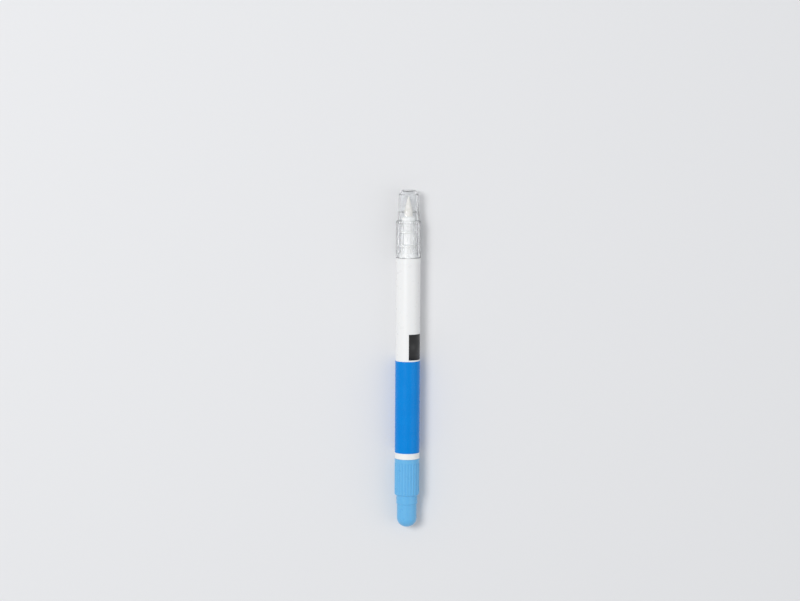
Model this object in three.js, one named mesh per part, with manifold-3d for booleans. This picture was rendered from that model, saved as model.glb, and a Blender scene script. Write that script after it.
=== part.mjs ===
// A double-ended fabric marker pen: a marking tip under a pale blue cap at one end and an
// eraser tip under a clear cap at the other, on one white barrel with two separate ink chambers.
//
// The pen lies on its side with its axis along X, the clear cap at +X, and rests on z = 0.
// Each end is drawn in its own frame, with its origin on the shoulder that the cap's rim
// meets, and "along" running outwards from there. All sizes are in millimetres.
import * as THREE from "three";
import { mergeVertices } from "three/addons/utils/BufferGeometryUtils.js";
import Module from "manifold-3d";

const wasm = await Module();
wasm.setup();

// Sides of the round pieces. Radii are measured to the flats, so one flat faces straight down.
const barrelSides = 36;
const nibSides = 24;
const fluteCount = 24;
const cornersPerFlute = 3;
const capSides = fluteCount * cornersPerFlute;
const capBoreSides = fluteCount;
const domeSteps = 5;
const softSteps = 2;

// Barrel, with the printed film that is shrunk onto its marker half.
const penRadius = 4.95;
const tubeLength = 76;
const tubeWall = 0.75;
const filmLength = 37.1;
const filmThickness = 0.08;
const filmGap = 0.02;

// Caps. Both have the same stepped body, and differ in their tops and closed ends.
const skirtLength = 14.9;
const neckLength = 3.6;
const eraserTopLength = 8.6;
const markerTopLength = 9.5;
const neckRadius = 4.22;
const topRadius = 3.93;
const capWall = 0.8;
const capEndWall = 0.9;
const shoulderWall = 1.1;
const shoulderRounding = 0.6;
const stepChamfer = 0.15;
const boreTaperLength = 1.6;
const rimGap = 0.05;
const rimChamfer = 0.15;
const mouthChamfer = 0.25;
const mouthOvercut = 0.5;
const bevelWidth = 1.35;
const bevelLength = 1.6;
const bevelSoftness = 0.35;
const domeFlatRadius = 0.2;
const fluteDepth = 0.2;
const fluteStart = 1.7;
const fluteRunout = 0.35;

// Rings that stand on the nib holder and bear in the cap's bore.
const ringClearance = 0.1;
const ringLand = 0.35;
const ringRamp = 0.45;
const snapRingPlace = 4.9;
const snapGrooveDepth = 0.12;
const sealRingInset = 3.4;

// Nib holders, whose rear plugs are pressed into the tube's ends.
const flangeLength = 2.4;
const flangeChamfer = 0.12;
const plugLength = 8;
const plugWall = 0.8;
const plugFit = 0.03;
const plugChamfer = 0.35;
const plugRingCount = 3;
const plugGrooveWidth = 0.9;
const plugGrooveDepth = 0.18;
const cupFloor = 1.1;
const coneLength = 2;
const coneInset = 0.25;
const collarLength = 3;
const collarClearance = 0.57;
const collarChamfer = 0.75;
const bodyStep = 0.25;
const noseGrooveLength = 1.1;
const noseGrooveDepth = 0.3;
const ventCount = 4;
const ventDepth = 0.3;

// Nibs.
const nibRadius = 1.63;
const nibFit = 0.03;
const nibReach = 7.7;
const nibConeLength = 5.7;
const nibTipRadius = 0.25;
const nibTipGap = 1.8;
const nibTailDepth = 5.5;
const nibTailChamfer = 0.7;
const nibShoulderSoftness = 0.6;

// Fibre reservoirs, and the plug that keeps their two inks apart.
const wrapThickness = 0.1;
const wrapGap = 0.02;
const cupFit = 0.06;
const tailFit = 0.06;
const reservoirEndGap = 0.15;
const dividerWeb = 2;
const dividerCupDepth = 3;

// Sizes and places that follow from those above.
const tubeRadius = penRadius - filmThickness - filmGap;
const tubeBoreRadius = tubeRadius - tubeWall;
const shoulderPlace = tubeLength / 2 + flangeLength;
const eraserCapLength = skirtLength + neckLength + eraserTopLength;
const markerCapLength = skirtLength + neckLength + markerTopLength;
const skirtBoreRadius = penRadius - capWall;
const neckBoreRadius = neckRadius - capWall;
const topBoreRadius = topRadius - capWall;
const skirtBoreEnd = skirtLength - shoulderWall;
const neckBoreEnd = skirtLength + neckLength - capWall;
const plugRadius = tubeBoreRadius - plugFit;
const cupRadius = plugRadius - plugWall;
const wrapRadius = cupRadius - cupFit;
const fibreRadius = wrapRadius - wrapThickness - wrapGap;
const nibTip = Math.min(eraserCapLength, markerCapLength) - capEndWall - nibTipGap;
const noseFace = nibTip - nibReach;
const collarStart = noseFace - collarLength;
const noseGrooveStart = collarStart - noseGrooveLength;
const collarRadius = neckBoreRadius - collarClearance;
const bodyRadius = collarRadius + bodyStep;
const nibBoreRadius = nibRadius + nibFit;
const cupFace = -flangeLength - cupFloor;
const nibTail = cupFace - nibTailDepth;

// A closed outline of [radius, along] corners, turned about the pen's axis.
function revolve(outline, sides) {
  const toCorner = 1 / Math.cos(Math.PI / sides);
  const points = outline.map(([radius, along]) => new THREE.Vector2(radius * toCorner, along));
  return new THREE.LatheGeometry(points, sides, Math.PI / sides);
}

function toSolid(geometry) {
  geometry.deleteAttribute("normal");
  geometry.deleteAttribute("uv");
  const { attributes, index } = mergeVertices(geometry);
  const vertProperties = attributes.position.array;
  return new wasm.Manifold(new wasm.Mesh({ numProp: 3, vertProperties, triVerts: index.array }));
}

function toGeometry(solid) {
  const { vertProperties, triVerts } = solid.getMesh();
  const geometry = new THREE.BufferGeometry();
  geometry.setAttribute("position", new THREE.BufferAttribute(vertProperties, 3));
  geometry.setIndex(new THREE.BufferAttribute(triVerts, 1));
  geometry.computeVertexNormals();
  return geometry;
}

function sleeveOutline(outerRadius, boreRadius, start, end) {
  return [
    [outerRadius, start],
    [outerRadius, end],
    [boreRadius, end],
    [boreRadius, start],
    [outerRadius, start],
  ];
}

// A quarter round from a side wall to the end face that it meets.
function quarterRound(radius, end, rounding, steps) {
  const points = [];
  for (let step = 0; step <= steps; step++) {
    const angle = (Math.PI / 2) * (step / steps);
    const outwards = radius - rounding + rounding * Math.cos(angle);
    const along = end - rounding + rounding * Math.sin(angle);
    points.push([outwards, along]);
  }
  return points;
}

// An outline's corner, softened by a curve that leaves both of its sides at the same distance.
function softCorner(before, corner, after, softness) {
  const middle = new THREE.Vector2(...corner);
  const towards = (neighbour) => {
    const side = new THREE.Vector2(...neighbour).sub(middle).setLength(softness);
    return middle.clone().add(side);
  };
  const curve = new THREE.QuadraticBezierCurve(towards(before), middle, towards(after));
  return curve.getPoints(softSteps).map((point) => [point.x, point.y]);
}

// The clear cap's closed end: a flat disc inside a broad bevel with softened corners.
function bevelledEnd(radius, end, size) {
  const foot = [radius, end - bevelLength * size];
  const head = [radius - bevelWidth * size, end];
  const centre = [0, end];
  const softness = bevelSoftness * size;
  return [
    ...softCorner([radius, 0], foot, head, softness),
    ...softCorner(foot, head, centre, softness),
    centre,
  ];
}

// The blue cap's closed end: a dome with a small flat in the middle.
function domedEnd(radius, end, size) {
  const rounding = radius - domeFlatRadius * size;
  return [...quarterRound(radius, end, rounding, domeSteps), [0, end]];
}

// The outside of a cap, from the middle of its mouth to the middle of its closed end.
function capOutside(closedEnd, capLength) {
  const stepPlace = skirtLength + neckLength;
  return [
    [0, rimGap],
    [penRadius - rimChamfer, rimGap],
    [penRadius, rimGap + rimChamfer],
    [penRadius, fluteStart],
    [penRadius, fluteStart + fluteRunout],
    ...quarterRound(penRadius, skirtLength, shoulderRounding, softSteps),
    [neckRadius, skirtLength],
    [neckRadius, stepPlace - stepChamfer],
    [topRadius, stepPlace + stepChamfer],
    ...closedEnd(topRadius, capLength, 1),
  ];
}

// The hollow of a cap, from just outside its mouth to the middle of its closed end, with
// the groove that the holder's snap ring sits in.
function capHollow(closedEnd, capLength) {
  const size = topBoreRadius / topRadius;
  const mouthWidth = mouthChamfer + mouthOvercut;
  const grooveRadius = skirtBoreRadius + snapGrooveDepth;
  const halfLand = ringLand / 2;
  const halfGroove = halfLand + ringRamp;
  return [
    [0, rimGap - mouthOvercut],
    [skirtBoreRadius + mouthWidth, rimGap - mouthOvercut],
    [skirtBoreRadius, rimGap + mouthChamfer],
    [skirtBoreRadius, snapRingPlace - halfGroove],
    [grooveRadius, snapRingPlace - halfLand],
    [grooveRadius, snapRingPlace + halfLand],
    [skirtBoreRadius, snapRingPlace + halfGroove],
    [skirtBoreRadius, skirtBoreEnd],
    [neckBoreRadius, skirtBoreEnd],
    [neckBoreRadius, neckBoreEnd - boreTaperLength / 2],
    [topBoreRadius, neckBoreEnd + boreTaperLength / 2],
    ...closedEnd(topBoreRadius, capLength - capEndWall, size),
  ];
}

// Presses the flutes into a revolved cap. On one in three of its lines of corners, the
// skirt's outside goes down to the flutes' floor, from the run-out near the rim to where
// that floor meets the rounded shoulder.
function pressFlutes(geometry, outlineCount) {
  const position = geometry.getAttribute("position");
  const floor = (penRadius - fluteDepth) / Math.cos(Math.PI / capSides);
  const runoutMiddle = fluteStart + fluteRunout / 2;
  for (let index = 0; index < position.count; index++) {
    const line = Math.floor(index / outlineCount);
    const radius = Math.hypot(position.getX(index), position.getZ(index));
    const isFlute = line % cornersPerFlute === 1;
    const isFluted = position.getY(index) > runoutMiddle && radius > floor;
    if (isFlute && isFluted) {
      position.setX(index, (position.getX(index) * floor) / radius);
      position.setZ(index, (position.getZ(index) * floor) / radius);
    }
  }
  return geometry;
}

function capGeometry(closedEnd, capLength) {
  const outline = capOutside(closedEnd, capLength);
  const outside = toSolid(pressFlutes(revolve(outline, capSides), outline.length));
  const hollow = toSolid(revolve(capHollow(closedEnd, capLength), capBoreSides));
  return toGeometry(outside.subtract(hollow));
}

function bearingRing(place) {
  const ringRadius = skirtBoreRadius - ringClearance;
  const halfLand = ringLand / 2;
  return [
    [bodyRadius, place - halfLand - ringRamp],
    [ringRadius, place - halfLand],
    [ringRadius, place + halfLand],
    [bodyRadius, place + halfLand + ringRamp],
  ];
}

// The side of a plug that is pressed into the tube: retaining rings with grooves between them.
function plugSide(start, end) {
  const pitch = (end - start) / plugRingCount;
  const halfFoot = plugGrooveWidth / 2;
  const halfFloor = halfFoot - plugGrooveDepth;
  const grooveRadius = plugRadius - plugGrooveDepth;
  const outline = [];
  for (let groove = 1; groove < plugRingCount; groove++) {
    const middle = start + groove * pitch;
    outline.push(
      [plugRadius, middle - halfFoot],
      [grooveRadius, middle - halfFloor],
      [grooveRadius, middle + halfFloor],
      [plugRadius, middle + halfFoot],
    );
  }
  return outline;
}

// Air vents along the nib's bore, where single lines of the bore's corners step outwards.
function cutVents(geometry, outlineCount) {
  const position = geometry.getAttribute("position");
  const boreCorner = nibBoreRadius / Math.cos(Math.PI / barrelSides);
  const linesPerVent = barrelSides / ventCount;
  const widened = (boreCorner + ventDepth) / boreCorner;
  for (let index = 0; index < position.count; index++) {
    const line = Math.floor(index / outlineCount);
    const radius = Math.hypot(position.getX(index), position.getZ(index));
    const isBore = Math.abs(radius - boreCorner) < nibFit;
    if (line % linesPerVent === 0 && isBore) {
      position.setX(index, position.getX(index) * widened);
      position.setZ(index, position.getZ(index) * widened);
    }
  }
  return geometry;
}

// A nib holder: plug, flange, cone, body with its snap and seal rings, nose groove and
// collar. The nib's bore runs through it to a cup that takes the reservoir's front end.
function holderGeometry() {
  const plugEnd = -flangeLength - plugLength;
  const outline = [
    [cupRadius, plugEnd],
    [plugRadius - plugChamfer, plugEnd],
    [plugRadius, plugEnd + plugChamfer],
    ...plugSide(plugEnd, -flangeLength),
    [plugRadius, -flangeLength],
    [penRadius - flangeChamfer, -flangeLength],
    [penRadius, -flangeLength + flangeChamfer],
    [penRadius, -flangeChamfer],
    [penRadius - flangeChamfer, 0],
    [skirtBoreRadius - coneInset, 0],
    [bodyRadius, coneLength],
    ...bearingRing(snapRingPlace),
    ...bearingRing(skirtBoreEnd - sealRingInset),
    [bodyRadius, noseGrooveStart],
    [collarRadius - noseGrooveDepth, noseGrooveStart],
    [collarRadius - noseGrooveDepth, collarStart],
    [collarRadius, collarStart],
    [collarRadius, noseFace - collarChamfer],
    [collarRadius - collarChamfer, noseFace],
    [nibBoreRadius, noseFace],
    [nibBoreRadius, cupFace],
    [cupRadius, cupFace],
    [cupRadius, plugEnd],
  ];
  return cutVents(revolve(outline, barrelSides), outline.length);
}

function nibGeometry() {
  const coneFoot = [nibRadius, nibTip - nibConeLength];
  const coneHead = [nibTipRadius, nibTip - nibTipRadius];
  const tailShoulder = [nibRadius, nibTail + nibTailChamfer];
  const outline = [
    [0, nibTail],
    [nibRadius - nibTailChamfer, nibTail],
    tailShoulder,
    ...softCorner(tailShoulder, coneFoot, coneHead, nibShoulderSoftness),
    ...quarterRound(nibTipRadius, nibTip, nibTipRadius, softSteps).slice(0, -1),
    [0, nibTip],
  ];
  return revolve(outline, nibSides);
}

// The fibre core, with the hole that the nib's tail presses into it.
function reservoirGeometry(start, end) {
  const holeRadius = nibRadius + tailFit;
  const holeFloor = nibTail - tailFit;
  const outline = [
    [0, start],
    [fibreRadius, start],
    [fibreRadius, end],
    [holeRadius, end],
    [holeRadius, holeFloor],
    [0, holeFloor],
  ];
  return revolve(outline, barrelSides);
}

// The plug in the middle of the tube, with a cup on each side for a reservoir's back end.
function dividerGeometry() {
  const halfWeb = dividerWeb / 2;
  const halfLength = halfWeb + dividerCupDepth;
  const outline = [
    [0, -halfWeb],
    [cupRadius, -halfWeb],
    [cupRadius, -halfLength],
    [plugRadius - plugChamfer, -halfLength],
    [plugRadius, -halfLength + plugChamfer],
    ...plugSide(-halfLength, halfLength),
    [plugRadius, halfLength - plugChamfer],
    [plugRadius - plugChamfer, halfLength],
    [cupRadius, halfLength],
    [cupRadius, halfWeb],
    [0, halfWeb],
  ];
  return revolve(outline, barrelSides);
}

function part(name, geometry, colour, roughness) {
  const material = new THREE.MeshStandardMaterial({ color: colour, roughness, metalness: 0 });
  const mesh = new THREE.Mesh(geometry, material);
  mesh.name = name;
  return mesh;
}

// One end of the pen in its own frame: cap, holder, nib, and the reservoir behind them.
function penEnd(role, closedEnd, capLength, colours) {
  const front = cupFace - reservoirEndGap;
  const back = dividerWeb / 2 + reservoirEndGap - shoulderPlace;
  const wrap = revolve(sleeveOutline(wrapRadius, fibreRadius + wrapGap, back, front), barrelSides);
  const end = new THREE.Group();
  end.add(
    part(`${role}_cap`, capGeometry(closedEnd, capLength), colours.cap, 0.2),
    part(`${role}_holder`, holderGeometry(), colours.holder, 0.35),
    part(`${role}_nib`, nibGeometry(), colours.nib, 0.9),
    part(`${role}_reservoir`, reservoirGeometry(back, front), colours.fibre, 0.95),
    part(`${role}_reservoir_wrap`, wrap, colours.wrap, 0.2),
  );
  return end;
}

function barrel() {
  const halfTube = tubeLength / 2;
  const tube = sleeveOutline(tubeRadius, tubeBoreRadius, -halfTube, halfTube);
  const film = sleeveOutline(penRadius, tubeRadius + filmGap, -halfTube, filmLength - halfTube);
  const middle = new THREE.Group();
  middle.add(
    part("barrel_tube", revolve(tube, barrelSides), 0xf4f4f2, 0.3),
    part("blue_film_sleeve", revolve(film, barrelSides), 0x048cde, 0.25),
    part("divider_plug", dividerGeometry(), 0xe6e6e0, 0.5),
  );
  return middle;
}

const eraserColours = {
  cap: 0xe9eef2,
  holder: 0xf3f1ee,
  nib: 0xe2ded6,
  fibre: 0xf1efe8,
  wrap: 0xdfe6ea,
};
const markerColours = {
  cap: 0x64b6ea,
  holder: 0xe8eef0,
  nib: 0x3d9fd0,
  fibre: 0x2f9fd6,
  wrap: 0xbfdcec,
};

const eraserEnd = penEnd("eraser", bevelledEnd, eraserCapLength, eraserColours);
eraserEnd.rotation.z = -Math.PI / 2;
eraserEnd.position.x = shoulderPlace;

const markerEnd = penEnd("marker", domedEnd, markerCapLength, markerColours);
markerEnd.rotation.z = Math.PI / 2;
markerEnd.position.x = -shoulderPlace;

const middle = barrel();
middle.rotation.z = -Math.PI / 2;

const pen = new THREE.Group();
pen.add(eraserEnd, markerEnd, middle);
pen.position.x = (markerCapLength - eraserCapLength) / 2;
pen.position.z = penRadius;

export default pen;
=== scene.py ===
"""A double-ended fabric marker pen that lies on its side, with its axis along X.

A marker tip sits under a pale blue cap at -X and an eraser tip under a clear cap at +X, on a
barrel that is white on the eraser's half and blue on the marker's. Every piece is turned
about the pen's axis, finely enough for close views, in the places that model.glb gives.
"""

import math

import bmesh
import bpy
from mathutils import Matrix, Vector


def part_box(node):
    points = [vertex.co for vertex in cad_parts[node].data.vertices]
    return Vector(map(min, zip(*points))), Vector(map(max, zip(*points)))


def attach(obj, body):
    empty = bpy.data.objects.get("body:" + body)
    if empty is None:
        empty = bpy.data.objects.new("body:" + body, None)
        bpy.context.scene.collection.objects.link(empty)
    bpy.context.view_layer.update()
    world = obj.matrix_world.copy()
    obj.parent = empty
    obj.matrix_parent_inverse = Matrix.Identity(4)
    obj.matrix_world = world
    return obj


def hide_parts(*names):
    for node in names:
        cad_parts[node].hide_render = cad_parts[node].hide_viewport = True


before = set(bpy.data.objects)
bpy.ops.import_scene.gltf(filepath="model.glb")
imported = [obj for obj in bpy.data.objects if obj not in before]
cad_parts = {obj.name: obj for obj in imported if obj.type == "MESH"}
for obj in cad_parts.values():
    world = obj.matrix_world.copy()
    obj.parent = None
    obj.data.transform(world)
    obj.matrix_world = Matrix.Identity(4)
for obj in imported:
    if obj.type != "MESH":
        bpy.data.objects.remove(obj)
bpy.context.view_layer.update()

bl_info = {
    "name": "Fabric marker pen",
    "version": (1, 0, 0),
    "blender": (4, 5, 0),
    "location": "3D View > Sidebar > Marker pen",
    "description": "Makes a double-ended fabric marker pen with fluted pull-off caps",
    "category": "Object",
}

MM = 0.001
FINISH_PREFIX = "pen_"
FLUTE_TREE = "Cap flutes"
PLASTIC_IOR = 1.49

# How finely outlines and turned pieces are divided. A rounding has ROUND_STEPS steps and
# STEPS_PER_MM more for each millimetre, and its hold points stand off by a share of it.
ROUND_STEPS = 4
STEPS_PER_MM = 5
HOLD_SHARE = 0.3
RUNOUT_LINES = 8
LINES_PER_FLUTE = 16
BARREL_LINES = 256
NIB_LINES = 96
BLOCK_COLUMNS = 48

# Roundings of a plain edge and of a holder's two end faces, and the share of a nib's tip
# radius that its point is rounded by.
FINE_EDGE = 0.06 * MM
SOFT_EDGE = 0.3 * MM
TIP_ROUNDING_SHARE = 0.9

# The stage: the camera's sensor in millimetres, the lamps' places and sides and the floor's
# reach in metres, and the sky's two colours.
SENSOR_WIDTH = 36
KEY_SPOT, KEY_SIDE = (0.3, 0.6, 1.2), 0.5
FILL_SPOT, FILL_SIDE = (-0.1, -0.9, 0.7), 0.8
FLOOR_HALF_SIDE = 3
FLOOR_DROP = 0.02 * MM
EVEN_SKY = (0.95, 0.97, 1, 1)
PALE_SKY = (0.8, 0.81, 0.82, 1)

tube_low, tube_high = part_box("barrel_tube")
cap_low, cap_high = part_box("eraser_cap")
film_low, film_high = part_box("blue_film_sleeve")
nib_low, nib_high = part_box("eraser_nib")

PEN_RADIUS = (cap_high.z - cap_low.z) / 2
AXIS_HEIGHT = PEN_RADIUS
TUBE_RADIUS = (tube_high.z - tube_low.z) / 2


def srgb(red, green, blue):
    """A colour given in screen values from 0 to 255, as the linear values that shaders take."""
    shares = [value / 255 for value in (red, green, blue)]
    return [s / 12.92 if s <= 0.04045 else ((s + 0.055) / 1.055) ** 2.4 for s in shares]


def length(name, millimetres, description):
    """A length that the sidebar shows and that can be set, given here in millimetres."""
    return bpy.props.FloatProperty(
        name=name,
        description=description,
        default=millimetres * MM,
        min=0,
        precision=5,
        unit="LENGTH",
    )


def colour(name, screen_values, description):
    """A colour that the sidebar shows and that can be set, given here in screen values."""
    return bpy.props.FloatVectorProperty(
        name=name,
        description=description,
        default=srgb(*screen_values),
        size=3,
        min=0,
        max=1,
        subtype="COLOR",
    )


class PenCapSizes(bpy.types.PropertyGroup):
    """Sizes of the two caps, most of which they share."""

    skirt_length: length("Skirt length", 14.9, "From the flange to the shoulder")
    neck_length: length("Neck length", 3.6, "From the shoulder to the step below the top")
    clear_step: length("Clear cap's step", 0.06, "Half the length of its slope at that step")
    blue_step: length("Blue cap's step", 0.15, "Half the length of its slope at that step")
    bore_taper: length("Bore taper", 1.6, "Length in which the bore narrows behind that step")
    taper_rounding: length("Taper rounding", 2.0, "Both ends of the bore's taper")
    neck_radius: length("Neck radius", 4.22, "Outside of the neck")
    top_radius: length("Top radius", 3.93, "Outside of the top")
    wall: length("Wall", 0.8, "Side wall all the way up")
    end_wall: length("End wall", 0.9, "Wall of the closed end")
    shoulder_wall: length("Shoulder wall", 1.1, "Wall between the skirt's bore and the shoulder")
    shoulder_rounding: length("Shoulder rounding", 0.6, "Outer edge of the shoulder")
    rim_rounding: length("Rim rounding", 0.08, "Outer edge of the open end")
    mouth_chamfer: length("Mouth chamfer", 0.25, "Lead-in at the open end")
    snap_place: length("Snap groove place", 4.9, "From the flange to the groove in the bore")
    snap_depth: length("Snap groove depth", 0.12, "Depth of the groove in the bore")
    snap_land: length("Snap groove land", 0.35, "Flat floor of that groove")
    snap_ramp: length("Snap groove ramp", 0.45, "Slope on each side of that groove")
    bevel_width: length("Bevel width", 1.35, "Clear cap's end bevel, across the pen")
    bevel_length: length("Bevel length", 1.6, "Clear cap's end bevel, along the pen")
    bevel_rounding: length("Bevel rounding", 0.25, "Corner between the bevel and the side")
    end_rounding: length("End rounding", 0.03, "Corner between the bevel and the flat end")
    dome_radius: length("Dome radius", 3.73, "Rounding of the blue cap's end")
    gate_radius: length("Gate mark radius", 0.55, "Moulding mark in the middle of the end")
    gate_depth: length("Gate mark depth", 0.06, "Depth of the moulding mark")
    gate_rounding: length("Gate mark rounding", 0.02, "Edges of the moulding mark")
    flute_count: bpy.props.IntProperty(
        name="Flutes", description="Flutes round each cap", default=24, min=8, max=48
    )
    flute_width: length("Flute width", 0.78, "Width of one groove at the skirt's surface")
    flute_depth: length("Flute depth", 0.25, "Depth of one groove")
    flute_start: length("Flute start", 1.7, "Plain band between the flange and the flutes")
    flute_runout: length("Flute run-out", 0.35, "Length in which a flute reaches its depth")


class PenHolderSizes(bpy.types.PropertyGroup):
    """Sizes of the nib holders and of the nibs in them."""

    flange_length: length("Flange length", 2.4, "White ring between the barrel and a cap")
    plug_length: length("Plug length", 8.0, "Part that is pressed into the tube")
    plug_radius: length("Plug radius", 4.07, "Outside of the plug")
    plug_fit: length("Plug fit", 0.03, "Between the plug and the tube's bore")
    plug_rings: bpy.props.IntProperty(
        name="Plug rings", description="Retaining rings round the plug", default=3, min=1, max=6
    )
    plug_groove_width: length("Plug groove width", 0.9, "Groove between two of those rings")
    plug_groove_depth: length("Plug groove depth", 0.18, "Depth of that groove")
    cup_radius: length("Cup radius", 3.27, "Socket for the reservoir")
    cup_floor: length("Cup floor", 1.1, "From the flange's back to the socket's floor")
    cone_radius: length("Cone radius", 3.9, "Foot of the cone on the flange")
    cone_length: length("Cone length", 2.0, "Cone between the flange and the body")
    cone_rounding: length("Cone rounding", 0.2, "Between the cone and the body")
    body_radius: length("Body radius", 3.1, "Body inside the cap")
    ring_radius: length("Ring radius", 4.05, "Snap ring and seal ring")
    ring_land: length("Ring land", 0.35, "Flat on top of each ring")
    ring_ramp: length("Ring ramp", 0.45, "Slope on each side of a ring")
    seal_place: length("Seal ring place", 10.4, "From the flange to the seal ring")
    collar_radius: length("Collar radius", 2.85, "Collar round the nib")
    collar_length: length("Collar length", 3.0, "Length of that collar")
    collar_chamfer: length("Collar chamfer", 0.75, "Edge of the collar's nose")
    collar_rounding: length("Collar rounding", 0.4, "Between the collar's side and that chamfer")
    groove_length: length("Groove length", 1.1, "Groove behind the collar")
    groove_depth: length("Groove depth", 0.3, "Depth of that groove")
    nose_reach: length("Nose reach", 16.7, "From the flange to the collar's nose")
    nib_radius: length("Nib radius", 1.63, "Straight part of the nib")
    nib_fit: length("Nib fit", 0.03, "Between the nib and the holder's bore")
    nib_tail_rounding: length("Nib tail rounding", 0.6, "Edge of the nib's hidden end")
    nib_foot_rounding: length("Nib foot rounding", 2.4, "Between the straight part and the cone")
    nib_cone_length: length("Nib cone length", 5.7, "Pointed part of the nib")
    nib_tip_radius: length("Nib tip radius", 0.25, "Rounding of the nib's point")
    vent_count: bpy.props.IntProperty(
        name="Vents", description="Air vents along the nib's bore", default=4, min=1, max=8
    )
    vent_width: length("Vent width", 0.58, "Width of a vent at the bore")
    vent_depth: length("Vent depth", 0.3, "Depth of a vent from the bore")


class PenBarrelSizes(bpy.types.PropertyGroup):
    """Sizes of the film and of the plain dark block printed on the white half."""

    film_gap: length("Film gap", 0.015, "Between the film and the tube")
    end_rounding: length("End rounding", 0.05, "Edges of the tube's and the film's ends")
    block_start: length("Block start", 0.6, "White line between the blue film and the block")
    block_length: length("Block length", 10.35, "Length of the block along the pen")
    block_gap: length("Block gap", 0.002, "Between the ink and the tube")
    block_thickness: length("Ink thickness", 0.012, "Thickness of the block's ink")
    block_from: bpy.props.FloatProperty(
        name="From",
        description="First edge of the block, from the top of the pen towards -Y",
        default=math.radians(5),
        subtype="ANGLE",
    )
    block_to: bpy.props.FloatProperty(
        name="To",
        description="Last edge of the block, from the top of the pen towards -Y",
        default=math.radians(96),
        subtype="ANGLE",
    )


class PenColours(bpy.types.PropertyGroup):
    """Colours of the pen's finishes and of the floor."""

    white_plastic: colour("White plastic", (243, 243, 242), "Tube and nib holders")
    blue_film: colour("Blue film", (0, 135, 221), "Printed film on the marker half")
    pale_blue: colour("Pale blue plastic", (104, 184, 234), "Cap of the marker end")
    clear_plastic: colour("Clear plastic", (250, 251, 252), "Cap of the eraser end")
    eraser_fibre: colour("Eraser fibre", (240, 237, 231), "Eraser nib and its reservoir")
    ink_fibre: colour("Inked fibre", (44, 146, 206), "Marker nib and its reservoir")
    print_block: colour("Printed block", (12, 12, 14), "Plain block on the white half")
    divider: colour("Divider plastic", (228, 228, 222), "Plug between the two inks")
    floor: colour("Floor", (234, 234, 235), "Paper that the pen lies on")


class PenStageSizes(bpy.types.PropertyGroup):
    """Where the camera stands, and how bright the lamps are."""

    camera_height: length("Camera height", 900, "From the pen's axis up to the camera")
    camera_forward: length("Camera forward", 119.25, "From the pen's middle towards the clear cap")
    camera_aside: length("Camera aside", 3.2, "From the pen's axis towards +Y")
    camera_lens: length("Lens", 102, "Focal length of the camera's lens")
    camera_tilt: bpy.props.FloatProperty(
        name="Camera tilt",
        description="How far the camera leans back from straight down, towards the blue cap",
        default=math.radians(6.06),
        subtype="ANGLE",
    )
    camera_roll: bpy.props.FloatProperty(
        name="Camera roll",
        description="Turn of the camera about its line of sight",
        default=math.radians(0.34),
        subtype="ANGLE",
    )
    key_power: bpy.props.FloatProperty(
        name="Key power", description="Main lamp at the upper left", default=9.2, unit="POWER"
    )
    fill_power: bpy.props.FloatProperty(
        name="Fill power", description="Weaker lamp at the right", default=1.5, unit="POWER"
    )
    sky_strength: bpy.props.FloatProperty(
        name="Sky strength", description="Even light from all round", default=0.5, min=0
    )


def rounded(corners):
    """An outline's points from its [radius, along, rounding] corners.

    A rounded corner becomes an arc, with a point held just before and just after it, so that
    the flat stretches beside it stay flat when the piece is shaded smooth.
    """
    points = []
    for index, (radius, along, rounding) in enumerate(corners):
        corner = Vector((radius, along))
        if not rounding:
            points.append(corner)
            continue
        before = Vector(corners[index - 1][:2]) - corner
        after = Vector(corners[(index + 1) % len(corners)][:2]) - corner
        before.normalize()
        after.normalize()
        half = before.angle(after) / 2
        reach = rounding / math.tan(half)
        centre = corner + (before + after).normalized() * rounding / math.sin(half)
        first = corner + before * reach - centre
        last = corner + after * reach - centre
        sweep = math.pi - 2 * half
        steps = ROUND_STEPS + round(STEPS_PER_MM * rounding / MM)
        points.append(centre + first + before * rounding * HOLD_SHARE)
        for step in range(steps + 1):
            share = step / steps
            towards_first = math.sin((1 - share) * sweep) / math.sin(sweep)
            towards_last = math.sin(share * sweep) / math.sin(sweep)
            points.append(centre + first * towards_first + last * towards_last)
        points.append(centre + last + after * rounding * HOLD_SHARE)
    return points


def turned(name, points, lines, place, closed=True):
    """A mesh object turned about the pen's axis from an outline of (radius, along) points.

    place gives the x of a distance along. A closed outline's last point is joined to its
    first, and any other starts and ends on the axis.
    """
    mesh = bmesh.new()
    rings = []
    for radius, along in points:
        if radius <= 0:
            rings.append([mesh.verts.new((place(along), 0, AXIS_HEIGHT))])
            continue
        ring = []
        for line in range(lines):
            angle = 2 * math.pi * line / lines
            across = radius * math.sin(angle)
            up = AXIS_HEIGHT + radius * math.cos(angle)
            ring.append(mesh.verts.new((place(along), across, up)))
        rings.append(ring)
    pairs = list(zip(rings, rings[1:]))
    if closed:
        pairs.append((rings[-1], rings[0]))
    for ring, following in pairs:
        join_rings(mesh, ring, following, lines)
    return finished_object(name, mesh)


def join_rings(mesh, ring, following, lines):
    """Faces between two rings, either of which may be a single point on the axis."""
    if len(ring) == 1 and len(following) == 1:
        return
    for line in range(lines):
        after = (line + 1) % lines
        if len(ring) == 1:
            mesh.faces.new((ring[0], following[after], following[line]))
        elif len(following) == 1:
            mesh.faces.new((ring[line], ring[after], following[0]))
        else:
            mesh.faces.new((ring[line], ring[after], following[after], following[line]))


def finished_object(name, mesh):
    """A smooth object at the origin from a closed bmesh, with its faces pointing out."""
    bmesh.ops.recalc_face_normals(mesh, faces=mesh.faces)
    for face in mesh.faces:
        face.smooth = True
    data = bpy.data.meshes.new(name)
    mesh.to_mesh(data)
    mesh.free()
    piece = bpy.data.objects.new(name, data)
    bpy.context.scene.collection.objects.link(piece)
    return piece


def dress(piece, material, body, node=None):
    """Gives a piece its finish and its body and, where it stands for a part of model.glb, hides
    that part.
    """
    piece.data.materials.clear()
    piece.data.materials.append(material)
    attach(piece, body)
    if node:
        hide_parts(node)


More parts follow.
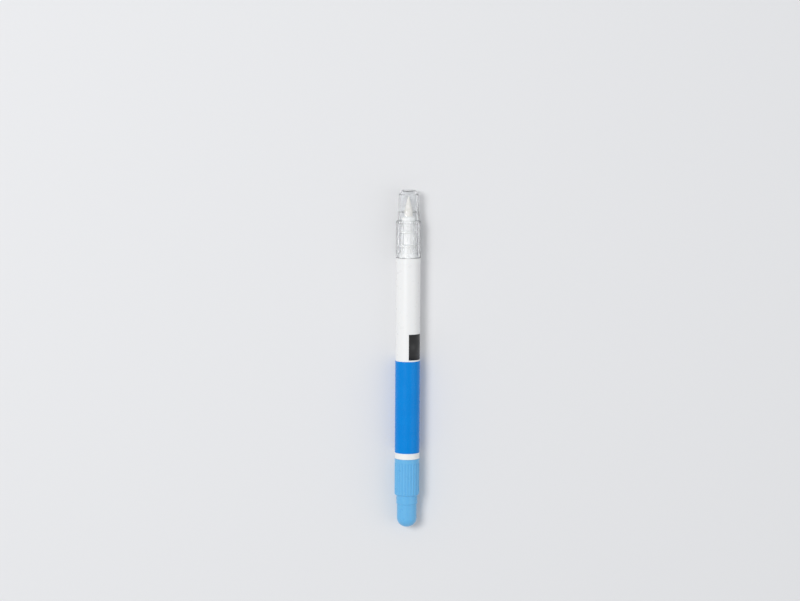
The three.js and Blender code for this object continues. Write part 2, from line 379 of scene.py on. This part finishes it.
class Surface:
    """A node material in Object coordinates, built up on a Principled shader.

    Its plain colour and roughness stay on the shader's sockets under whatever varies them.
    """

    def __init__(self, name, base_colour, roughness):
        self.material = bpy.data.materials.new(FINISH_PREFIX + name)
        self.material.use_nodes = True
        self.nodes = self.material.node_tree.nodes
        self.links = self.material.node_tree.links
        self.shader = self.nodes["Principled BSDF"]
        self.coordinates = self.nodes.new("ShaderNodeTexCoord").outputs["Object"]
        self.base_colour = (*base_colour, 1)
        self.shader.inputs["Base Color"].default_value = self.base_colour
        self.shader.inputs["Roughness"].default_value = roughness
        self.normal = None

    def fix(self, **values):
        """Sets plain numbers and colours on the shader's own sockets."""
        for name, value in values.items():
            self.shader.inputs[name.replace("_", " ")].default_value = value

    def grain(self, size, along=1.0, detail=3.0, distortion=0.0):
        """Noise with marks of about that size, drawn out along the pen by a factor."""
        mapping = self.nodes.new("ShaderNodeMapping")
        mapping.inputs["Scale"].default_value = (1 / along, 1, 1)
        self.links.new(self.coordinates, mapping.inputs["Vector"])
        noise = self.nodes.new("ShaderNodeTexNoise")
        noise.inputs["Scale"].default_value = 1 / size
        noise.inputs["Detail"].default_value = detail
        noise.inputs["Distortion"].default_value = distortion
        self.links.new(mapping.outputs["Vector"], noise.inputs["Vector"])
        return noise.outputs["Fac"]

    def spread(self, value, from_range, to_range):
        """Maps one range of a value to another."""
        spread = self.nodes.new("ShaderNodeMapRange")
        spread.interpolation_type = "SMOOTHSTEP"
        spread.inputs["From Min"].default_value = from_range[0]
        spread.inputs["From Max"].default_value = from_range[1]
        spread.inputs["To Min"].default_value = to_range[0]
        spread.inputs["To Max"].default_value = to_range[1]
        self.links.new(value, spread.inputs["Value"])
        return spread.outputs["Result"]

    def tint(self, value, from_range, factor, most=1):
        """Multiplies the colour's channels by a factor each, as a value goes over a range."""
        share = self.spread(value, from_range, (0, most))
        mix = self.nodes.new("ShaderNodeMix")
        mix.data_type = "RGBA"
        source = self.shader.inputs["Base Color"]
        if source.is_linked:
            self.links.new(source.links[0].from_socket, mix.inputs["A"])
        else:
            mix.inputs["A"].default_value = self.base_colour
        mix.inputs["B"].default_value = tuple(
            min(1, value * by) for value, by in zip(self.base_colour, (*factor, 1))
        )
        self.links.new(share, mix.inputs["Factor"])
        self.links.new(mix.outputs["Result"], source)

    def vary_roughness(self, value, from_range, to_range):
        """Takes the roughness from a value, one range of which it maps to another."""
        self.links.new(self.spread(value, from_range, to_range), self.shader.inputs["Roughness"])

    def bump(self, height, depth, strength=1.0):
        """Adds bumps of that depth, in metres, to those that are there already."""
        bump = self.nodes.new("ShaderNodeBump")
        bump.inputs["Distance"].default_value = depth
        bump.inputs["Strength"].default_value = strength
        self.links.new(height, bump.inputs["Height"])
        if self.normal:
            self.links.new(self.normal, bump.inputs["Normal"])
        self.normal = bump.outputs["Normal"]
        self.links.new(self.normal, self.shader.inputs["Normal"])

    def scuff(self, size, along, depth, onset=(0.7, 0.8)):
        """Adds fine scratches along the pen, where noise of that size passes its onset."""
        noise = self.grain(size, along=along, detail=2)
        self.bump(self.spread(noise, onset, (1, 0)), depth)

    def let_lamps_through(self, share):
        """Lets that share of the lamps' light through each face, on to what is behind it."""
        clear = self.nodes.new("ShaderNodeBsdfTransparent")
        clear.inputs["Color"].default_value = (share, share, share, 1)
        path = self.nodes.new("ShaderNodeLightPath")
        mix = self.nodes.new("ShaderNodeMixShader")
        self.links.new(path.outputs["Is Shadow Ray"], mix.inputs[0])
        self.links.new(self.shader.outputs["BSDF"], mix.inputs[1])
        self.links.new(clear.outputs["BSDF"], mix.inputs[2])
        self.links.new(mix.outputs["Shader"], self.nodes["Material Output"].inputs["Surface"])


def moulded_plastic(name, base_colour, roughness):
    """Injection-moulded plastic: faint flow marks, handling haze and fine scuffs."""
    surface = Surface(name, base_colour, roughness)
    flow = surface.grain(6 * MM, along=3, detail=2, distortion=0.4)
    haze = surface.grain(2.4 * MM, detail=3)
    polished, hazed = roughness * 0.9, roughness * 1.2
    surface.tint(flow, (0.35, 0.7), (0.985, 0.987, 0.99))
    surface.vary_roughness(haze, (0.3, 0.72), (polished, hazed))
    surface.bump(flow, 0.003 * MM)
    surface.scuff(0.12 * MM, along=14, depth=0.0003 * MM)
    return surface


def white_plastic(colours):
    """Glossy white plastic that light sinks into a little."""
    surface = moulded_plastic("white_plastic", colours.white_plastic, 0.3)
    surface.fix(IOR=PLASTIC_IOR, Subsurface_Weight=0.08, Subsurface_Scale=0.6 * MM)
    surface.fix(Subsurface_Radius=(1.0, 0.9, 0.8))
    return surface.material


def pale_blue_plastic(colours):
    """Glossy pale blue plastic, milkier than the white."""
    surface = moulded_plastic("pale_blue_plastic", colours.pale_blue, 0.3)
    surface.fix(IOR=PLASTIC_IOR, Subsurface_Weight=0.15, Subsurface_Scale=0.8 * MM)
    surface.fix(Subsurface_Radius=(0.5, 0.8, 1.0))
    return surface.material


def divider_plastic(colours):
    """Matt off-white plastic."""
    return moulded_plastic("divider_plastic", colours.divider, 0.5).material


def blue_film(colours):
    """Glossy printed film: fine print grain, faint bands and handling marks."""
    surface = Surface("blue_film", colours.blue_film, 0.24)
    print_grain = surface.grain(0.07 * MM, detail=2)
    bands = surface.grain(9 * MM, along=0.5, detail=1)
    haze = surface.grain(2.2 * MM, along=2, detail=3)
    surface.tint(print_grain, (0.4, 0.75), (1.0, 0.93, 0.95))
    surface.tint(bands, (0.4, 0.65), (1.0, 1.015, 1.01), most=0.8)
    surface.vary_roughness(haze, (0.3, 0.72), (0.24, 0.32))
    surface.bump(bands, 0.004 * MM)
    surface.scuff(0.09 * MM, along=22, depth=0.0006 * MM, onset=(0.68, 0.78))
    surface.fix(IOR=1.36, Specular_IOR_Level=0.25)
    return surface.material


def clear_plastic(colours):
    """Clear polished plastic, slightly hazed by handling, that lamps shine through."""
    surface = Surface("clear_plastic", colours.clear_plastic, 0.02)
    flow = surface.grain(5 * MM, along=3, detail=1, distortion=0.3)
    haze = surface.grain(1.4 * MM, detail=3)
    surface.vary_roughness(haze, (0.4, 0.8), (0.006, 0.024))
    surface.bump(flow, 0.004 * MM)
    surface.scuff(0.1 * MM, along=18, depth=0.0003 * MM)
    surface.fix(IOR=PLASTIC_IOR, Transmission_Weight=0.93)
    surface.let_lamps_through(0.45)
    return surface.material


def clear_wrap(colours):
    """Thin crinkled film round a reservoir."""
    surface = Surface("clear_wrap", colours.clear_plastic, 0.12)
    crinkle = surface.grain(1.1 * MM, along=4, detail=4, distortion=0.6)
    surface.bump(crinkle, 0.05 * MM)
    surface.fix(IOR=1.5, Transmission_Weight=1.0)
    surface.let_lamps_through(0.9)
    return surface.material


def pressed_fibre(name, base_colour, tone_and_gap_shade):
    """Pressed fibre: fine strands along the pen, with painted shade in the gaps between them."""
    surface = Surface(name, base_colour, 0.88)
    strands = surface.grain(0.055 * MM, along=16, detail=3)
    bundles = surface.grain(0.3 * MM, along=9, detail=3)
    # Darker bundles at random: the fibre's own tone.
    surface.tint(bundles, (0.35, 0.7), tone_and_gap_shade)
    # Painted shade: darker between the strands.
    surface.tint(strands, (0.5, 0.72), tone_and_gap_shade, most=0.8)
    surface.vary_roughness(bundles, (0.3, 0.7), (0.8, 0.95))
    surface.bump(bundles, 0.02 * MM)
    surface.bump(strands, 0.016 * MM)
    surface.fix(Sheen_Weight=0.25, Sheen_Roughness=0.5)
    return surface


def eraser_fibre(colours):
    """Off-white fibre."""
    # Its factor darkens the bundles and paints shade between the strands.
    return pressed_fibre("eraser_fibre", colours.eraser_fibre, (0.92, 0.91, 0.89)).material


def ink_fibre(colours):
    """Fibre soaked in blue ink, with a deeper, bluer painted shade between the strands."""
    return pressed_fibre("ink_fibre", colours.ink_fibre, (0.6, 0.78, 0.88)).material


def printed_ink(colours):
    """Solid screen print: dark and faintly mottled, with a soft gloss."""
    surface = Surface("printed_ink", colours.print_block, 0.32)
    mottle = surface.grain(0.2 * MM, detail=3)
    haze = surface.grain(1.8 * MM, along=2, detail=4)
    surface.tint(mottle, (0.45, 0.75), (1.7, 1.7, 1.8))
    surface.vary_roughness(haze, (0.3, 0.72), (0.34, 0.42))
    surface.bump(mottle, 0.003 * MM)
    return surface.material


def floor_paper(colours):
    """Matt paper, pale enough to stay out of the way."""
    surface = Surface("floor_paper", colours.floor, 0.9)
    tooth = surface.grain(0.5 * MM, detail=4)
    surface.bump(tooth, 0.01 * MM, strength=0.5)
    surface.fix(Specular_IOR_Level=0.2)
    return surface.material


FINISHES = {
    "white_plastic": white_plastic,
    "pale_blue_plastic": pale_blue_plastic,
    "divider_plastic": divider_plastic,
    "blue_film": blue_film,
    "clear_plastic": clear_plastic,
    "clear_wrap": clear_wrap,
    "eraser_fibre": eraser_fibre,
    "ink_fibre": ink_fibre,
    "printed_ink": printed_ink,
    "floor_paper": floor_paper,
}


def finish_named(name):
    """The finish of that name, made the first time it is asked for."""
    made = bpy.data.materials.get(FINISH_PREFIX + name)
    return made or FINISHES[name](bpy.context.scene.pen_colours)


def end_place(side):
    """Gives the x of a distance outwards from the flange's face, at the +X or -X end."""
    tube_end = tube_high.x if side > 0 else tube_low.x
    flange_face = tube_end + side * bpy.context.scene.pen_holder.flange_length
    return lambda along: flange_face + side * along


def flute_tree():
    """Geometry nodes that press flutes into a turned cap.

    Each point's radius becomes the lesser of what it was and the flutes' floor there, so a
    flute runs out in the shoulder's rounding by itself and leaves the cap's hollow alone.
    """
    tree = bpy.data.node_groups.new(FLUTE_TREE, "GeometryNodeTree")
    tree.is_modifier = True
    sockets = {
        "Geometry": "NodeSocketGeometry",
        "Flutes": "NodeSocketInt",
        "Skirt radius": "NodeSocketFloat",
        "Axis height": "NodeSocketFloat",
        "Groove width": "NodeSocketFloat",
        "Groove depth": "NodeSocketFloat",
        "Start": "NodeSocketFloat",
        "Full depth": "NodeSocketFloat",
        "Material": "NodeSocketMaterial",
    }
    for name, kind in sockets.items():
        tree.interface.new_socket(name, in_out="INPUT", socket_type=kind)
    tree.interface.new_socket("Geometry", in_out="OUTPUT", socket_type="NodeSocketGeometry")
    given = tree.nodes.new("NodeGroupInput").outputs
    link = tree.links.new

    def feed(socket, value):
        """Gives a socket a number, or links it to another node's output."""
        if isinstance(value, (int, float)):
            socket.default_value = value
        else:
            link(value, socket)

    def calculate(operation, *values):
        node = tree.nodes.new("ShaderNodeMath")
        node.operation = operation
        for socket, value in zip(node.inputs, values):
            feed(socket, value)
        return node.outputs[0]

    def smooth_range(value, from_range, to_range):
        node = tree.nodes.new("ShaderNodeMapRange")
        node.interpolation_type = "SMOOTHSTEP"
        names = ("Value", "From Min", "From Max", "To Min", "To Max")
        for name, given_value in zip(names, (value, *from_range, *to_range)):
            feed(node.inputs[name], given_value)
        return node.outputs["Result"]

    separate = tree.nodes.new("ShaderNodeSeparateXYZ")
    link(tree.nodes.new("GeometryNodeInputPosition").outputs[0], separate.inputs[0])
    along, across, height = separate.outputs
    up = calculate("SUBTRACT", height, given["Axis height"])
    angle = calculate("ARCTAN2", across, up)
    squares = calculate("MULTIPLY", up, up)
    radius = calculate("SQRT", calculate("MULTIPLY_ADD", across, across, squares))

    turns = calculate("DIVIDE", angle, 2 * math.pi)
    pitches = calculate("MULTIPLY", turns, given["Flutes"])
    from_groove = calculate("SUBTRACT", 0.5, calculate("PINGPONG", pitches, 0.5))
    girth = calculate("MULTIPLY", given["Skirt radius"], 2 * math.pi)
    pitch = calculate("DIVIDE", girth, given["Flutes"])
    half_width = calculate("MULTIPLY", given["Groove width"], 0.5)
    groove = smooth_range(calculate("MULTIPLY", from_groove, pitch), (0, half_width), (1, 0))
    runout = smooth_range(along, (given["Start"], given["Full depth"]), (0, 1))
    depth = calculate("MULTIPLY", calculate("MULTIPLY", groove, runout), given["Groove depth"])
    floor = calculate("SUBTRACT", given["Skirt radius"], depth)
    share = calculate("DIVIDE", calculate("MINIMUM", radius, floor), radius)

    moved = tree.nodes.new("ShaderNodeCombineXYZ")
    link(along, moved.inputs[0])
    link(calculate("MULTIPLY", across, share), moved.inputs[1])
    link(calculate("MULTIPLY_ADD", up, share, given["Axis height"]), moved.inputs[2])
    set_position = tree.nodes.new("GeometryNodeSetPosition")
    realize = tree.nodes.new("GeometryNodeRealizeInstances")
    set_material = tree.nodes.new("GeometryNodeSetMaterial")
    output = tree.nodes.new("NodeGroupOutput")
    link(given["Geometry"], set_position.inputs["Geometry"])
    link(moved.outputs[0], set_position.inputs["Position"])
    link(set_position.outputs[0], realize.inputs[0])
    link(realize.outputs[0], set_material.inputs["Geometry"])
    link(given["Material"], set_material.inputs["Material"])
    link(set_material.outputs[0], output.inputs[0])
    return tree


def press_flutes(piece, place, sizes, material):
    """Runs the flute tree on a cap and keeps the result as a plain mesh."""
    tree = bpy.data.node_groups.get(FLUTE_TREE) or flute_tree()
    values = {
        "Flutes": sizes.flute_count,
        "Skirt radius": PEN_RADIUS,
        "Axis height": AXIS_HEIGHT,
        "Groove width": sizes.flute_width,
        "Groove depth": sizes.flute_depth,
        "Start": place(sizes.flute_start),
        "Full depth": place(sizes.flute_start + sizes.flute_runout),
        "Material": material,
    }
    modifier = piece.modifiers.new("Flutes", "NODES")
    modifier.node_group = tree
    for socket in tree.interface.items_tree:
        if socket.in_out == "INPUT" and socket.name in values:
            modifier[socket.identifier] = values[socket.name]
    evaluated = piece.evaluated_get(bpy.context.evaluated_depsgraph_get())
    pressed = bpy.data.meshes.new_from_object(evaluated)
    piece.modifiers.clear()
    piece.data = pressed


def closed_end(radius, end, inset, is_clear, sizes):
    """A cap's closed end, bevelled or domed, with the outside's form drawn in by an inset."""
    if not is_clear:
        return [[radius, end, sizes.dome_radius - inset]]
    share = (radius - inset) / radius
    return [
        [radius, end - sizes.bevel_length * share, sizes.bevel_rounding * share],
        [radius - sizes.bevel_width * share, end, sizes.end_rounding * share],
    ]


def cap_outline(is_clear, sizes, rim, top):
    """A cap's whole outline: up its outside to the middle of its end, and down its inside."""
    step = sizes.skirt_length + sizes.neck_length
    bore = PEN_RADIUS - sizes.wall
    neck_bore = sizes.neck_radius - sizes.wall
    top_bore = sizes.top_radius - sizes.wall
    inner_end = top - sizes.end_wall
    shoulder = sizes.skirt_length - sizes.shoulder_wall
    slope = sizes.clear_step if is_clear else sizes.blue_step
    taper = sizes.bore_taper / 2
    land = sizes.snap_land / 2
    groove = land + sizes.snap_ramp
    runout = [
        [PEN_RADIUS, sizes.flute_start + sizes.flute_runout * line / RUNOUT_LINES, 0]
        for line in range(RUNOUT_LINES + 1)
    ]
    gate = [
        [sizes.gate_radius, top, sizes.gate_rounding],
        [sizes.gate_radius - sizes.gate_depth, top - sizes.gate_depth, sizes.gate_rounding],
        [0, top - sizes.gate_depth, 0],
    ]
    middle = gate if is_clear else [[0, top, 0]]
    return [
        [bore + sizes.mouth_chamfer, rim, FINE_EDGE],
        [PEN_RADIUS, rim, sizes.rim_rounding],
        *runout,
        [PEN_RADIUS, sizes.skirt_length, sizes.shoulder_rounding],
        [sizes.neck_radius, sizes.skirt_length, FINE_EDGE],
        [sizes.neck_radius, step - slope, FINE_EDGE],
        [sizes.top_radius, step + slope, FINE_EDGE / 2],
        *closed_end(sizes.top_radius, top, 0, is_clear, sizes),
        *middle,
        [0, inner_end, 0],
        *reversed(closed_end(top_bore, inner_end, sizes.wall, is_clear, sizes)),
        [top_bore, step - sizes.wall + taper, sizes.taper_rounding],
        [neck_bore, step - sizes.wall - taper, sizes.taper_rounding],
        [neck_bore, shoulder, FINE_EDGE],
        [bore, shoulder, FINE_EDGE],
        [bore, sizes.snap_place + groove, FINE_EDGE],
        [bore + sizes.snap_depth, sizes.snap_place + land, FINE_EDGE],
        [bore + sizes.snap_depth, sizes.snap_place - land, FINE_EDGE],
        [bore, sizes.snap_place - groove, FINE_EDGE],
        [bore, rim + sizes.mouth_chamfer, FINE_EDGE],
    ]


def make_cap(name, node, is_clear, finish, side):
    """One fluted cap, with its flutes pressed in by geometry nodes."""
    sizes = bpy.context.scene.pen_cap
    place = end_place(side)
    flange_face = place(0) * side
    low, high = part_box(node)
    rim = min(abs(low.x), abs(high.x)) - flange_face
    top = max(abs(low.x), abs(high.x)) - flange_face
    points = rounded(cap_outline(is_clear, sizes, rim, top))
    piece = turned(name, points, sizes.flute_count * LINES_PER_FLUTE, place)
    material = finish_named(finish)
    press_flutes(piece, place, sizes, material)
    dress(piece, material, node, node)


def ring_corners(place, sizes):
    """A ring that stands on a holder's body and bears in the cap's bore."""
    land = sizes.ring_land / 2
    foot = land + sizes.ring_ramp
    return [
        [sizes.body_radius, place - foot, FINE_EDGE],
        [sizes.ring_radius, place - land, FINE_EDGE],
        [sizes.ring_radius, place + land, FINE_EDGE],
        [sizes.body_radius, place + foot, FINE_EDGE],
    ]


def plug_grooves(sizes, start, end):
    """The grooves between the retaining rings of a plug."""
    pitch = (end - start) / sizes.plug_rings
    half_foot = sizes.plug_groove_width / 2
    half_floor = half_foot - sizes.plug_groove_depth
    floor_radius = sizes.plug_radius - sizes.plug_groove_depth
    corners = []
    for groove in range(1, sizes.plug_rings):
        middle = start + groove * pitch
        corners += [
            [sizes.plug_radius, middle - half_foot, FINE_EDGE],
            [floor_radius, middle - half_floor, FINE_EDGE],
            [floor_radius, middle + half_floor, FINE_EDGE],
            [sizes.plug_radius, middle + half_foot, FINE_EDGE],
        ]
    return corners


def cut_vents(piece, sizes, nib_bore):
    """Widens the nib's bore into narrow air vents, which fade out at the collar's edge."""
    reach = sizes.collar_radius - sizes.collar_chamfer - nib_bore
    spacing = 2 * math.pi / sizes.vent_count
    half_angle = sizes.vent_width / 2 / nib_bore
    for vertex in piece.data.vertices:
        across, up = vertex.co.y, vertex.co.z - AXIS_HEIGHT
        radius = math.hypot(across, up)
        near_bore = 1 - (radius - nib_bore) / reach
        turns = math.atan2(across, up) / spacing
        from_vent = abs(turns - round(turns)) * spacing / half_angle
        if near_bore > 0 and from_vent < 1:
            depth = sizes.vent_depth * (1 + math.cos(math.pi * from_vent)) / 2
            share = 1 + depth * min(1, near_bore) / radius
            vertex.co.y = across * share
            vertex.co.z = AXIS_HEIGHT + up * share


def holder_outline(sizes, snap_place, nib_bore):
    """A nib holder from its plug over its flange, body and collar to its bore."""
    plug_end = -sizes.flange_length - sizes.plug_length
    collar_start = sizes.nose_reach - sizes.collar_length
    groove_radius = sizes.collar_radius - sizes.groove_depth
    cup_face = -sizes.flange_length - sizes.cup_floor
    chamfer = sizes.collar_chamfer
    return [
        [sizes.cup_radius, plug_end, FINE_EDGE],
        [sizes.plug_radius, plug_end, SOFT_EDGE],
        *plug_grooves(sizes, plug_end, -sizes.flange_length),
        [sizes.plug_radius, -sizes.flange_length, 0],
        [PEN_RADIUS, -sizes.flange_length, FINE_EDGE],
        [PEN_RADIUS, 0, FINE_EDGE],
        [sizes.cone_radius, 0, FINE_EDGE],
        [sizes.body_radius, sizes.cone_length, sizes.cone_rounding],
        *ring_corners(snap_place, sizes),
        *ring_corners(sizes.seal_place, sizes),
        [sizes.body_radius, collar_start - sizes.groove_length, FINE_EDGE],
        [groove_radius, collar_start - sizes.groove_length, FINE_EDGE],
        [groove_radius, collar_start, FINE_EDGE],
        [sizes.collar_radius, collar_start, FINE_EDGE],
        [sizes.collar_radius, sizes.nose_reach - chamfer, sizes.collar_rounding],
        [sizes.collar_radius - chamfer, sizes.nose_reach, SOFT_EDGE],
        [nib_bore, sizes.nose_reach, FINE_EDGE],
        [nib_bore, cup_face, 0],
        [sizes.cup_radius, cup_face, 0],
    ]


def nib_outline(sizes, tail, tip):
    """A nib from the middle of its tail to its rounded point."""
    cone_foot = tip - sizes.nib_cone_length
    return [
        [0, tail, 0],
        [sizes.nib_radius, tail, sizes.nib_tail_rounding],
        [sizes.nib_radius, cone_foot, sizes.nib_foot_rounding],
        [sizes.nib_tip_radius, tip, sizes.nib_tip_radius * TIP_ROUNDING_SHARE],
        [0, tip, 0],
    ]


class PEN_OT_stage(bpy.types.Operator):
    """Make the camera, the floor, the lamps and the sky"""

    bl_idname = "pen.stage"
    bl_label = "Stage"

    def execute(self, context):
        stage = context.scene.pen_stage
        self.make_camera(context.scene, stage)
        self.make_floor()
        self.make_lamp("key", KEY_SPOT, KEY_SIDE, stage.key_power)
        self.make_lamp("fill", FILL_SPOT, FILL_SIDE, stage.fill_power)
        self.make_sky(context.scene, stage.sky_strength)
        context.scene.view_settings.view_transform = "Standard"
        return {"FINISHED"}

    def make_camera(self, scene, stage):
        """The camera looks almost straight down, with the clear cap at the top of the picture."""
        data = bpy.data.cameras.new("camera")
        camera = bpy.data.objects.new("camera", data)
        scene.collection.objects.link(camera)
        data.sensor_width = SENSOR_WIDTH
        data.lens = stage.camera_lens / MM
        lean = Matrix.Rotation(stage.camera_tilt, 4, "Y")
        clear_cap_up = Matrix.Rotation(-math.pi / 2, 4, "Z")
        roll = Matrix.Rotation(stage.camera_roll, 4, "Z")
        height = AXIS_HEIGHT + stage.camera_height
        spot = Vector((stage.camera_forward, stage.camera_aside, height))
        camera.matrix_world = Matrix.Translation(spot) @ lean @ clear_cap_up @ roll
        scene.camera = camera

    def make_floor(self):
        """A large flat floor, just clear of the pen."""
        mesh = bmesh.new()
        bmesh.ops.create_grid(mesh, x_segments=1, y_segments=1, size=FLOOR_HALF_SIDE)
        data = bpy.data.meshes.new("floor")
        mesh.to_mesh(data)
        mesh.free()
        floor = bpy.data.objects.new("floor", data)
        floor.location.z = -FLOOR_DROP
        bpy.context.scene.collection.objects.link(floor)
        data.materials.append(finish_named("floor_paper"))

    def make_lamp(self, name, spot, side, power):
        """A square lamp that faces the origin."""
        data = bpy.data.lights.new(name, "AREA")
        data.shape = "RECTANGLE"
        data.size = data.size_y = side
        data.energy = power
        lamp = bpy.data.objects.new(name, data)
        lamp.location = spot
        lamp.rotation_mode = "QUATERNION"
        lamp.rotation_quaternion = Vector(spot).to_track_quat("Z", "Y")
        bpy.context.scene.collection.objects.link(lamp)

    def make_sky(self, scene, strength):
        """An even sky, paler where it is looked at directly, through plastic or in its gloss."""
        world = bpy.data.worlds.new("sky")
        scene.world = world
        world.use_nodes = True
        nodes, links = world.node_tree.nodes, world.node_tree.links
        even = nodes["Background"]
        even.inputs["Color"].default_value = EVEN_SKY
        even.inputs["Strength"].default_value = strength
        pale = nodes.new("ShaderNodeBackground")
        pale.inputs["Color"].default_value = PALE_SKY
        path = nodes.new("ShaderNodeLightPath")
        looked_at = path.outputs["Is Camera Ray"]
        for ray in ("Is Transmission Ray", "Is Glossy Ray"):
            either = nodes.new("ShaderNodeMath")
            either.operation = "MAXIMUM"
            links.new(looked_at, either.inputs[0])
            links.new(path.outputs[ray], either.inputs[1])
            looked_at = either.outputs[0]
        mix = nodes.new("ShaderNodeMixShader")
        links.new(looked_at, mix.inputs[0])
        links.new(even.outputs[0], mix.inputs[1])
        links.new(pale.outputs[0], mix.inputs[2])
        links.new(mix.outputs[0], nodes["World Output"].inputs["Surface"])


class PEN_OT_caps(bpy.types.Operator):
    """Make the clear cap and the pale blue cap"""

    bl_idname = "pen.caps"
    bl_label = "Caps"

    def execute(self, context):
        make_cap("clear_cap", "eraser_cap", True, "clear_plastic", 1)
        make_cap("pale_blue_cap", "marker_cap", False, "pale_blue_plastic", -1)
        return {"FINISHED"}


class PEN_OT_barrel(bpy.types.Operator):
    """Make the white tube, its blue film and the plain block printed on it"""

    bl_idname = "pen.barrel"
    bl_label = "Barrel"

    def execute(self, context):
        holder, sizes = context.scene.pen_holder, context.scene.pen_barrel
        tube_bore = holder.plug_radius + holder.plug_fit
        tube = self.sleeve("white_tube", TUBE_RADIUS, tube_bore, tube_low.x, tube_high.x)
        dress(tube, finish_named("white_plastic"), "barrel", "barrel_tube")
        film_bore = TUBE_RADIUS + sizes.film_gap
        film = self.sleeve("blue_film", PEN_RADIUS, film_bore, film_low.x, film_high.x)
        dress(film, finish_named("blue_film"), "barrel", "blue_film_sleeve")
        block = self.printed_block(sizes)
        dress(block, finish_named("printed_ink"), "barrel")
        return {"FINISHED"}

    def sleeve(self, name, radius, bore, low, high):
        """A tube along the pen, whose edges are rounded by at most a third of its wall."""
        edge = min(bpy.context.scene.pen_barrel.end_rounding, (radius - bore) / 3)
        corners = [
            [radius, low, edge],
            [radius, high, edge],
            [bore, high, edge],
            [bore, low, edge],
        ]
        return turned(name, rounded(corners), BARREL_LINES, lambda along: along)

    def printed_block(self, sizes):
        """A thin curved patch of ink on the tube, closed on all sides."""
        start = film_high.x + sizes.block_start
        end = start + sizes.block_length
        inner = TUBE_RADIUS + sizes.block_gap
        outer = inner + sizes.block_thickness
        sweep = sizes.block_to - sizes.block_from
        mesh = bmesh.new()
        sections = []
        for column in range(BLOCK_COLUMNS + 1):
            angle = sizes.block_from + sweep * column / BLOCK_COLUMNS
            section = []
            for radius, x in ((inner, start), (outer, start), (outer, end), (inner, end)):
                across = -radius * math.sin(angle)
                up = AXIS_HEIGHT + radius * math.cos(angle)
                section.append(mesh.verts.new((x, across, up)))
            sections.append(section)
        for section, following in zip(sections, sections[1:]):
            join_rings(mesh, section, following, len(section))
        mesh.faces.new(sections[0])
        mesh.faces.new(sections[-1])
        return finished_object("printed_block", mesh)


class PEN_OT_holders(bpy.types.Operator):
    """Make both nib holders"""

    bl_idname = "pen.holders"
    bl_label = "Nib holders"

    def execute(self, context):
        sizes = context.scene.pen_holder
        snap_place = context.scene.pen_cap.snap_place
        nib_bore = sizes.nib_radius + sizes.nib_fit
        for node, side in (("eraser_holder", 1), ("marker_holder", -1)):
            points = rounded(holder_outline(sizes, snap_place, nib_bore))
            piece = turned(f"{node}_body", points, BARREL_LINES, end_place(side))
            cut_vents(piece, sizes, nib_bore)
            dress(piece, finish_named("white_plastic"), "barrel", node)
        return {"FINISHED"}


class PEN_OT_nibs(bpy.types.Operator):
    """Make both nibs"""

    bl_idname = "pen.nibs"
    bl_label = "Nibs"

    def execute(self, context):
        flange_face = end_place(1)(0)
        tail, tip = nib_low.x - flange_face, nib_high.x - flange_face
        points = rounded(nib_outline(context.scene.pen_holder, tail, tip))
        for role, finish, side in (("eraser", "eraser_fibre", 1), ("marker", "ink_fibre", -1)):
            piece = turned(f"{role}_nib_rod", points, NIB_LINES, end_place(side), closed=False)
            dress(piece, finish_named(finish), "barrel", f"{role}_nib")
        return {"FINISHED"}


class PEN_OT_filling(bpy.types.Operator):
    """Finish the reservoirs, their wraps and the divider plug inside the tube"""

    bl_idname = "pen.filling"
    bl_label = "Filling"

    def execute(self, context):
        finishes = {
            "eraser_reservoir": "eraser_fibre",
            "eraser_reservoir_wrap": "clear_wrap",
            "marker_reservoir": "ink_fibre",
            "marker_reservoir_wrap": "clear_wrap",
            "divider_plug": "divider_plastic",
        }
        for node, finish in finishes.items():
            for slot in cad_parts[node].material_slots:
                slot.material = finish_named(finish)
        return {"FINISHED"}


OPERATORS = (
    PEN_OT_stage,
    PEN_OT_caps,
    PEN_OT_barrel,
    PEN_OT_holders,
    PEN_OT_nibs,
    PEN_OT_filling,
)
GROUPS = {
    "pen_cap": PenCapSizes,
    "pen_holder": PenHolderSizes,
    "pen_barrel": PenBarrelSizes,
    "pen_colours": PenColours,
    "pen_stage": PenStageSizes,
}


class PEN_PT_sidebar(bpy.types.Panel):
    """The pen's sizes, colours and pieces"""

    bl_idname = "PEN_PT_sidebar"
    bl_label = "Marker pen"
    bl_space_type = "VIEW_3D"
    bl_region_type = "UI"
    bl_category = "Marker pen"

    def draw(self, context):
        for operator in OPERATORS:
            self.layout.operator(operator.bl_idname)
        for name, group in GROUPS.items():
            box = self.layout.box()
            box.label(text=group.__doc__.splitlines()[0])
            for prop in group.__annotations__:
                box.prop(getattr(context.scene, name), prop)


def register():
    for group in GROUPS.values():
        bpy.utils.register_class(group)
    for operator in OPERATORS:
        bpy.utils.register_class(operator)
    bpy.utils.register_class(PEN_PT_sidebar)
    for name, group in GROUPS.items():
        setattr(bpy.types.Scene, name, bpy.props.PointerProperty(type=group))


def unregister():
    for name in GROUPS:
        delattr(bpy.types.Scene, name)
    bpy.utils.unregister_class(PEN_PT_sidebar)
    for operator in reversed(OPERATORS):
        bpy.utils.unregister_class(operator)
    for group in reversed(GROUPS.values()):
        bpy.utils.unregister_class(group)


def main():
    register()
    bpy.ops.pen.stage()
    bpy.ops.pen.caps()
    bpy.ops.pen.barrel()
    bpy.ops.pen.holders()
    bpy.ops.pen.nibs()
    bpy.ops.pen.filling()


if __name__ == "__main__":
    main()
